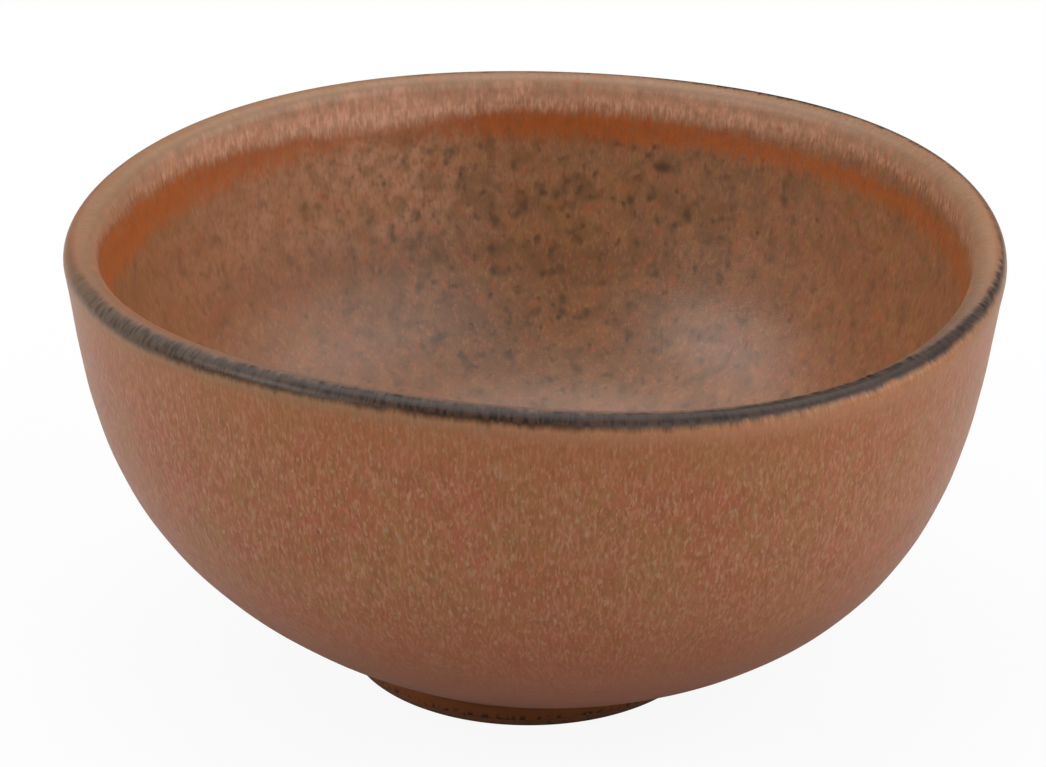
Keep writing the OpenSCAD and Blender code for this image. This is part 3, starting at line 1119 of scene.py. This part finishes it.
@dataclass(frozen=True)
class StonewareGlaze:
    """The satin terracotta glaze, with its flecks, its belts of colour by the lip and its dark specks.

    Belts and flecks come from one field, so neighbouring coats have the same colours at their seam. Each
    grain is given by its cell's width and length in millimetres, its seed, its detail and, at times, its
    roughness. A span is the two ways or heights between which something fades in.
    """

    coating: Coating
    satin: float = 0.42
    band_satin: float = 0.34
    satin_spread: float = 0.08
    shade_grain: Grain = (0.5, 1.1, 3.0, 3.0, 0.65)
    mottle: float = 0.20
    run_shade: float = 0.32
    run_shade_span: Span = (-13.0, -10.0)
    lip_fleck_span: Span = (-9.0, -6.0)
    crest_span: Span = (-0.8, 0.8)
    ground_span: Span = (-0.5, 0.5)
    pore_grain: Grain = (0.28, 0.28, 1.0, 2.0)
    pore_depth: float = 0.03
    swell_grain: Grain = (2.6, 2.6, 2.0, 1.0)
    swell_depth: float = 0.05
    murk_centre: tuple[float, float, float] = (3.0, 55.0, 40.0)
    murk_reach: Span = (12.0, 54.0)
    murk_share: float = 0.55
    clear_share: float = 0.45
    floor_span: Span = (-74.0, -42.0)
    floor_share: float = 0.32
    low_wall_span: Span = (26.0, 70.0)
    # Painted shade just above the crease: the ways over which it fades in, and how strong it is.
    crease_shade_span: Span = (66.0, 76.0)
    crease_shade_share: float = 0.7
    foot_span: Span = (3.4, 6.0)
    foot_grain: Grain = (2.0, 2.0, 9.0, 2.0)
    foot_ragged: float = 0.8
    spot_grain: Grain = (0.7, 1.2, 15.0, 0.0)
    spot_range: Span = (0.48, 0.66)
    spot_span: Span = (1.7, 2.6)
    spot_share: float = 0.85

    def dress(self, piece: bpy.types.Object) -> None:
        """Gives a piece this glaze.

        Args:
            piece: The piece to dress.
        """
        graph = Graph.of_material(f"{piece.name}_finish", piece.data)
        glaze = GlazeField(graph)
        colour = self._ground(glaze)
        for belt in BELTS:
            colour = colour.mixed(belt.tint.linear(), glaze.belt_mask(belt))
        shade = glaze.grain(*self.shade_grain)
        colour = colour * (shade * self.mottle + (1.0 - self.mottle / 2))
        inside = 1.0 - glaze.way.step(*self.crest_span)
        colour = glaze.scattered(colour, LIP_FLECKS, glaze.way.step(*self.lip_fleck_span) * inside)
        runs = glaze.run * glaze.way.step(*self.run_shade_span) * inside
        colour = colour * (1.0 + runs * self.run_shade)
        roughness = shade * self.satin_spread + (self.satin - self.satin_spread / 2)
        graph.coat({
            "Base Color": colour,
            "Roughness": roughness + glaze.belt_mask(BAND) * (self.band_satin - self.satin),
            "Specular IOR Level": self.coating.value,
            "Normal": self._surface(glaze),
        })

    def _ground(self, glaze: GlazeField) -> Wire:
        """Gives the glaze's colour away from the lip, on both sides of the crest.

        Args:
            glaze: The field of the piece's material.

        Returns:
            The colour.
        """
        if self.coating is Coating.INSIDE:
            return self._inside(glaze)
        if self.coating is Coating.OUTSIDE:
            return self._outside(glaze)
        return self._inside(glaze).mixed(self._outside(glaze), glaze.way.step(*self.ground_span))

    def _outside(self, glaze: GlazeField) -> Wire:
        """Gives the outer wall: terracotta, a darker, deeper orange low down, and amber brown on the foot.

        Just above the crease it is turned towards umber, which is painted shade.

        Args:
            glaze: The field of the piece's material.

        Returns:
            The colour.
        """
        colour = glaze.scattered(Tint.TERRACOTTA.linear(), OUTSIDE_FLECKS)
        height = glaze.at.part(2)
        low_wall = glaze.way.step(*self.low_wall_span) * glaze.line(LOW_SHARE)
        # Painted shade: the wall just above the crease is turned towards umber, as the shade where it meets
        # the foot.
        crease = glaze.way.step(*self.crease_shade_span) * self.crease_shade_share
        ragged = height + (glaze.grain(*self.foot_grain) - 0.5) * self.foot_ragged
        spots = glaze.grain(*self.spot_grain).step(*self.spot_range) * (1.0 - height.step(*self.spot_span))
        colour = colour.mixed(Tint.LOW_WALL.linear(), low_wall)
        colour = colour.mixed(Tint.UMBER.linear(), crease)
        colour = colour.mixed(Tint.FOOT.linear(), 1.0 - ragged.step(*self.foot_span))
        return colour.mixed(Tint.CHARCOAL.linear(), spots * self.spot_share)

    def _inside(self, glaze: GlazeField) -> Wire:
        """Gives the inner wall: brown with rust, murky and darkly specked in the middle of the far side.

        Args:
            glaze: The field of the piece's material.

        Returns:
            The colour.
        """
        away = glaze.graph.wire("ShaderNodeVectorMath", {"operation": "DISTANCE"},
                                {0: glaze.at, 1: self.murk_centre}, output=1)
        near, far = self.murk_reach
        murk = 1.0 - (away + glaze.broad * far).step(near, far)
        colour = glaze.graph.mix("MIX", Tint.BROWN.linear(), Tint.MURK.linear(), murk * self.murk_share)
        colour = colour.mixed(DUN.tint.linear(), glaze.belt_mask(DUN))
        wall = glaze.way.step(*self.floor_span) * (1.0 - self.floor_share) + self.floor_share
        colour = glaze.scattered(colour, INSIDE_FLECKS, wall)
        specked = murk * (1.0 - self.clear_share) + self.clear_share
        return glaze.scattered(colour, INSIDE_SPECKS, specked * wall)

    def _surface(self, glaze: GlazeField) -> Wire:
        """Gives the normal of a satin skin with fine pores over a soft swell."""
        swell = glaze.grain(*self.swell_grain) * self.swell_depth
        return glaze.graph.bump(glaze.grain(*self.pore_grain) * self.pore_depth + swell)


@dataclass(frozen=True)
class BareClay:
    """Fired stoneware without glaze: a sandy matt body with darker grog.

    Each noise is given by its cell in millimetres, its detail and its roughness, and a range is the part of
    it over which it shows.
    """

    tint: Tint
    rough: float = 0.82
    sand_noise: Grain = (0.35, 3.0, 0.65)
    sand_shade: float = 0.5
    cloud_noise: Grain = (9.0, 2.0, 0.5)
    cloud_range: Span = (0.45, 0.70)
    cloud_share: float = 0.35
    grog_noise: Grain = (1.1, 1.0, 0.5)
    grog_range: Span = (0.62, 0.70)
    grog_share: float = 0.7
    grog_sink: float = 0.5
    depth: float = 0.09

    def dress(self, piece: bpy.types.Object) -> None:
        """Gives a piece this clay.

        Args:
            piece: The piece to dress.
        """
        graph = Graph.of_material(f"{piece.name}_finish", piece.data)
        at = graph.place()
        sand = graph.noise(at, *self.sand_noise)
        cloud = graph.noise(at, *self.cloud_noise).step(*self.cloud_range) * self.cloud_share
        grog = graph.noise(at, *self.grog_noise).step(*self.grog_range)
        colour = graph.mix("MIX", self.tint.linear(), Tint.GROG.linear(), cloud)
        colour = colour.mixed(Tint.GROG.linear(), grog * self.grog_share)
        graph.coat({
            "Base Color": colour * (sand * self.sand_shade + (1.0 - self.sand_shade / 2)),
            "Roughness": self.rough,
            "Normal": graph.bump((sand - grog * self.grog_sink) * self.depth),
        })


@dataclass(frozen=True)
class Piece:
    """One piece of the bowl, with the construction node and the record's slot that it stands for."""

    name: str
    section: Section
    setting: Level
    finish: BareClay | StonewareGlaze
    node: str
    slot: str

    def make(self, turner: Turner) -> None:
        """Turns the piece, dresses it, puts it on the bowl and reports it.

        Args:
            turner: What turns its section.
        """
        made = turner.turn(self.name, self.section, self.setting)
        self.finish.dress(made)
        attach(made, BODY)
        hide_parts(self.node)
        LOG.info("%s: %d faces", made.name, len(made.data.polygons))


@dataclass
class ThrownBody:
    """The thrown wall, lip and floor, with the coats that cover them from the foot to the floor's middle."""

    sizes: BowlSizes
    skin: Skin
    turner: Turner
    leaning: Leaning
    fillet_way: float = 6.0
    fillet_rise: float = 0.55
    fillet_reach: float = 2.4

    def runs(self) -> list[Array]:
        """Gives the ways of the four runs of the skin, from the crease to the middle of the floor.

        Returns:
            Ways on the outer wall, the band, the lip and the inner wall, each falling.
        """
        skin = self.skin
        return [
            eased(skin.foot, skin.band_foot, WALL_STEPS),
            eased(skin.band_foot, skin.band_top, LIP_STEPS),
            eased(skin.band_top, skin.crest_foot, LIP_STEPS),
            eased(skin.crest_foot, skin.floor, WALL_STEPS),
        ]

    def glazed(self, way: Array) -> tuple[Array, Array]:
        """Gives the glazed skin: the clay, moved straight out by the coat's thickness and its ridges.

        Args:
            way: Places along the skin.

        Returns:
            Radius and height, one row for each way and one column for each step round the bowl.
        """
        relief = Relief(self.sizes, self.skin)
        thickness = relief.coat(way)[:, None] + relief.ridges(way, self.turner.phi[None, :])
        point = self.skin.point(way)
        out = self.skin.out(way)
        radius = point[:, :1] + out[:, :1] * thickness
        height = point[:, 1:] + out[:, 1:] * thickness
        return np.maximum(radius, 0.0), height

    def coat_section(self, way: Array, capped: bool = False) -> Section:
        """Gives the section of a coat: down the clay along the ways, and back over the glazed skin.

        Args:
            way: Ways of the coat, falling.
            capped: True where the last way is on the axis.

        Returns:
            The section, with the solid on the left.
        """
        clay = self.skin.point(way)
        clay_radius, clay_height = clay[:, :1], clay[:, 1:]
        radius, height = self.glazed(way)
        if capped:
            radii, heights = (clay_radius[::-1], radius), (clay_height[::-1], height)
        else:
            radii, heights = (radius[::-1], clay_radius), (height[::-1], clay_height)
        ways = np.concatenate([way[::-1], way])
        return Section(join_rows(*radii), join_rows(*heights), ways, capped)

    def clay_section(self) -> Section:
        """Gives the section of the clay: the recess and the seat below, then the whole skin.

        Returns:
            The section, from the axis to the axis.
        """
        sizes = self.sizes
        runs = self.runs()
        way = np.concatenate([runs[0]] + [run[1:] for run in runs[1:]])
        under = np.array([
            [0.0, sizes.well_top],
            [sizes.well_r * 0.5, sizes.well_top],
            [sizes.well_r, sizes.well_top],
            [sizes.well_r, sizes.foot_h],
        ])
        points = np.concatenate([under, self.skin.point(way)])
        points[-1, 0] = 0.0
        return Section.of_points(points, np.concatenate([np.full(len(under), way[0]), way]), capped=True)

    def outer_section(self) -> Section:
        """Gives the section of the outer coat, whose foot fills the crease with pooled glaze.

        The pool's face is a cubic that leaves the foot ring upright and joins the wall in line with it.

        Returns:
            The section, a closed loop.
        """
        sizes = self.sizes
        way = self.runs()[0]
        wall_way = way[way < self.skin.foot - self.fillet_way]
        radius, height = self.glazed(wall_way)
        start = np.array([sizes.foot_r, sizes.ring_top])
        joins = np.stack([radius[0], height[0]], axis=-1)
        ahead = np.stack([radius[1], height[1]], axis=-1) - joins
        ahead = ahead / np.linalg.norm(ahead, axis=-1, keepdims=True)
        lift = start + np.array([0.0, self.fillet_rise])
        lead = joins - self.fillet_reach * ahead
        t = np.linspace(0.0, 1.0, FOOT_STEPS * 2, endpoint=False)[:, None, None]
        pool = bezier(t, start, lift, lead, joins)
        back = np.concatenate([self.skin.point(way)[::-1], [[sizes.crease_r, sizes.ring_top]]])
        pool_way = np.linspace(self.skin.foot, float(wall_way[0]), len(pool), endpoint=False)
        return Section(
            join_rows(pool[..., 0], radius, back[:, :1]),
            join_rows(pool[..., 1], height, back[:, 1:]),
            np.concatenate([pool_way, wall_way, way[::-1], [self.skin.foot]]),
        )

    def build(self) -> None:
        """Makes the clay and the four coats on it."""
        clay = BareClay(Tint.BARE_CLAY)
        _, band, lip, inside = self.runs()
        coats = (
            ("terracotta_coat", self.outer_section(), Coating.OUTSIDE, "outer_glaze", "outer_glaze"),
            ("dark_rim_band", self.coat_section(band), Coating.BAND, "rim_band", "band_glaze"),
            ("pale_lip_coat", self.coat_section(lip), Coating.LIP, "lip_glaze", "lip_glaze"),
            ("inside_coat", self.coat_section(inside, True), Coating.INSIDE, "inner_glaze", "inner_glaze"),
        )
        body = Piece("thrown_clay", self.clay_section(), self.leaning, clay, "clay_body", "body_clay")
        body.make(self.turner)
        for name, section, coating, node, slot in coats:
            Piece(name, section, self.leaning, StonewareGlaze(coating), node, slot).make(self.turner)


@dataclass
class Foot:
    """The foot ring, the slip that lutes it to the body, and the glaze on it and inside it."""

    sizes: BowlSizes
    turner: Turner
    level: Level
    leaning: Leaning
    groove: float = 0.06
    groove_pitch: float = 1.9
    wander: float = 0.12
    wander_waves: tuple[int, int] = (3, 7)
    wander_turn: float = 0.6
    meniscus: float = 0.9
    pattern_way: float = 60.0

    def ring_top_at(self, radius: Array) -> Array:
        """Gives the height of the ring's leaning top at each of a column of radii, for each step round it."""
        tilt = math.radians(self.sizes.lean)
        return self.sizes.ring_top / math.cos(tilt) - radius * np.cos(self.turner.phi) * math.tan(tilt)

    def edge(self, centre_r: float, start: float, end: float) -> Array:
        """Gives a rounded lower edge of the ring: an arc round a centre, from one angle to another."""
        arc = directions(np.radians(np.linspace(start, end, FOOT_STEPS)))
        return (centre_r, self.sizes.ring_edge_r) + self.sizes.ring_edge_r * arc

    def ring_section(self) -> Section:
        """Gives the ring: rounded below, upright at its sides, and leaning on top as the body does.

        Returns:
            The section, a closed loop.
        """
        sizes = self.sizes
        outer = self.edge(sizes.ring_r - sizes.ring_edge_r, -90.0, 0.0)
        inner = self.edge(sizes.well_r + sizes.ring_edge_r, 180.0, 270.0)
        top = np.array([[sizes.ring_r], [sizes.well_r]])
        radius = np.concatenate([outer[:, :1], top, inner[:, :1]])
        height = join_rows(outer[:, 1:], self.ring_top_at(top), inner[:, 1:])
        return Section(radius, height, np.zeros(len(radius)))

    def slip_section(self) -> Section:
        """Gives the slip, a thin flat ring between the foot ring's top and the seat.

        Returns:
            The section, a closed loop.
        """
        sizes = self.sizes
        mid_r = (sizes.well_r + sizes.crease_r) / 2
        points = np.array([
            [sizes.well_r, sizes.ring_top], [mid_r, sizes.ring_top], [sizes.crease_r, sizes.ring_top],
            [sizes.crease_r, sizes.foot_h], [mid_r, sizes.foot_h], [sizes.well_r, sizes.foot_h],
        ])
        return Section.of_points(points, np.zeros(len(points)))

    def glaze_section(self) -> Section:
        """Gives the foot's glaze, which swells out from a rolled lower edge that wanders up and down.

        Returns:
            The section, a closed loop.
        """
        sizes = self.sizes
        phi = self.turner.phi
        slow, quick = self.wander_waves
        waves = np.cos(slow * phi + self.wander_turn) * np.cos(quick * phi)
        line = sizes.ring_edge_r + sizes.bare_h + self.wander * (1.0 + waves)
        turn = np.radians(np.linspace(-90.0, 0.0, FOOT_STEPS))[:, None]
        roll_r = sizes.ring_r + sizes.foot_coat * np.cos(turn)
        roll_z = line + sizes.foot_coat * (1.0 + np.sin(turn))
        top = np.array([[sizes.foot_r], [sizes.ring_r]])
        radius = np.concatenate([roll_r, top])
        height = join_rows(roll_z, self.ring_top_at(top))
        return Section(radius, height, np.full(len(radius), self.pattern_way))

    def well_section(self) -> Section:
        """Gives the glaze under the floor, turned in fine rings and drawn up at its edge.

        Returns:
            The section, from the axis to the axis.
        """
        sizes = self.sizes
        radius = eased(0.0, sizes.well_r, FOOT_STEPS * 4)
        rings = self.groove * np.cos(2 * math.pi * radius / self.groove_pitch)
        climb = smoothstep(sizes.well_r - self.meniscus, sizes.well_r, radius) * sizes.well_coat
        height = sizes.well_top - sizes.well_coat + (rings - self.groove) * (1.0 - climb / sizes.well_coat)
        face = np.stack([radius, height - climb], axis=1)
        back = [[share * sizes.well_r, sizes.well_top] for share in (1.0, 0.5, 0.0)]
        points = np.concatenate([face, back])
        return Section.of_points(points, np.full(len(points), self.pattern_way), capped=True)

    def build(self) -> None:
        """Makes the ring, the slip and the two glazes."""
        ring, slip, glaze = BareClay(Tint.RING_CLAY), BareClay(Tint.SLIP), StonewareGlaze(Coating.OUTSIDE)
        pieces = (
            Piece("turned_foot_ring", self.ring_section(), self.level, ring, "foot_ring", "ring_clay"),
            Piece("joining_slip", self.slip_section(), self.leaning, slip, "luting_slip", "slip"),
            Piece("foot_coat", self.glaze_section(), self.level, glaze, "foot_glaze", "foot_glaze"),
            Piece("under_floor_coat", self.well_section(), self.leaning, glaze, "well_glaze", "well_glaze"),
        )
        for piece in pieces:
            piece.make(self.turner)


@dataclass(frozen=True)
class Lamp:
    """A square soft box: its turn from +X towards +Y and its rise, in degrees, its side and its power."""

    name: str
    turn: float
    rise: float
    side: float
    power: float


@dataclass
class Studio:
    """The pale floor, the soft light and the camera, in metres."""

    aim: tuple[float, float, float] = (-0.001778, 0.0, 0.04403)
    elevation: float = 24.73
    distance: float = 0.56
    floor_half: float = 4.0
    floor_white: float = 0.55
    floor_lift: float = 0.92
    sky: float = 0.06
    lamp_distance: float = 1.3
    lamps: tuple[Lamp, ...] = (
        Lamp("left_box", 188.0, 31.0, 0.45, 3.6),
        Lamp("front_left_box", 210.0, 33.0, 0.60, 7.0),
        Lamp("front_right_box", 315.0, 35.0, 1.00, 8.9),
        Lamp("right_box", 0.0, 30.0, 0.90, 9.8),
        Lamp("top_box", 90.0, 88.0, 0.90, 7.6),
        Lamp("far_right_box", 60.0, 58.0, 0.90, 5.6),
        Lamp("far_left_box", 150.0, 58.0, 0.90, 8.0),
    )

    def build(self) -> None:
        """Sets up the whole studio."""
        self.make_world()
        self.make_floor()
        self.make_lamps()
        self.make_camera()

    def make_world(self) -> None:
        """Makes a white surround, which the camera sees at full white and the bowl as even soft light."""
        world = bpy.data.worlds.new("surround")
        graph = Graph(world)
        strength = self._seen(graph) * (1.0 - self.sky) + self.sky
        white = {"Color": Tint.WHITE.linear(), "Strength": strength}
        graph.end("ShaderNodeOutputWorld", graph.shader("ShaderNodeBackground", white))
        bpy.context.scene.world = world

    @staticmethod
    def _seen(graph: Graph) -> Wire:
        """Gives 1 for what the camera sees, straight or through glass, and 0 for any other ray."""
        camera, through = (graph.wire("ShaderNodeLightPath", {}, {}, output=ray) for ray in (0, 6))
        return graph.wire("ShaderNodeMath", {"operation": "MAXIMUM"}, {0: camera, 1: through})

    def make_floor(self) -> None:
        """Makes the floor, white to the camera but for the bowl's soft shadow."""
        half = self.floor_half
        corners = [(-half, -half, 0), (half, -half, 0), (half, half, 0), (-half, half, 0)]
        mesh = bpy.data.meshes.new("floor")
        mesh.from_pydata(corners, [], [(0, 1, 2, 3)])
        floor = add_object("floor", mesh)
        graph = Graph.of_material("floor_paper", mesh)
        seen = self._seen(graph) * self.floor_lift
        paper = graph.shader("ShaderNodeBsdfDiffuse", {"Color": (self.floor_white,) * 3 + (1.0,)})
        glow = graph.shader("ShaderNodeEmission", {"Color": Tint.WHITE.linear(), "Strength": 1.0})
        mixed = graph.shader("ShaderNodeMixShader", {0: seen, 1: paper, 2: glow})
        graph.end("ShaderNodeOutputMaterial", mixed)

    def make_lamps(self) -> None:
        """Hangs the soft boxes round the bowl, each turned towards it."""
        for lamp in self.lamps:
            light = bpy.data.lights.new(lamp.name, "AREA")
            light.shape = "SQUARE"
            light.size = lamp.side
            light.energy = lamp.power
            box = add_object(lamp.name, light)
            turn, rise = math.radians(lamp.turn), math.radians(lamp.rise)
            reach = self.lamp_distance * math.cos(rise)
            lift = self.lamp_distance * math.sin(rise)
            x, y, z = self.aim
            box.location = (x + reach * math.cos(turn), y + reach * math.sin(turn), z + lift)
            box.rotation_euler = (math.pi / 2 - rise, 0.0, turn + math.pi / 2)

    def make_camera(self) -> None:
        """Sets the camera at the photograph's distance and angle, and the plain view transform."""
        slope = math.radians(self.elevation)
        data = bpy.data.cameras.new("camera")
        data.sensor_fit = "HORIZONTAL"
        data.sensor_width = SENSOR_WIDTH
        data.lens = FOCAL_PIXELS / PHOTO_WIDTH * SENSOR_WIDTH
        camera = add_object("camera", data)
        x, y, z = self.aim
        camera.location = (x, y - self.distance * math.cos(slope), z + self.distance * math.sin(slope))
        camera.rotation_euler = (math.pi / 2 - slope, 0.0, 0.0)
        bpy.context.scene.camera = camera
        bpy.context.scene.view_settings.view_transform = "Standard"


def main() -> None:
    """Builds the bowl over its construction model, then the studio."""
    logging.basicConfig(level=logging.INFO, format="%(message)s")
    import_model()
    Studio().build()
    sizes = BowlSizes.from_frame()
    turner = Turner(sizes.rim_r, sizes.well_r)
    leaning = Leaning(sizes)
    ThrownBody(sizes, Skin(sizes), turner, leaning).build()
    Foot(sizes, turner, Level(sizes), leaning).build()


if __name__ == "__main__":
    main()
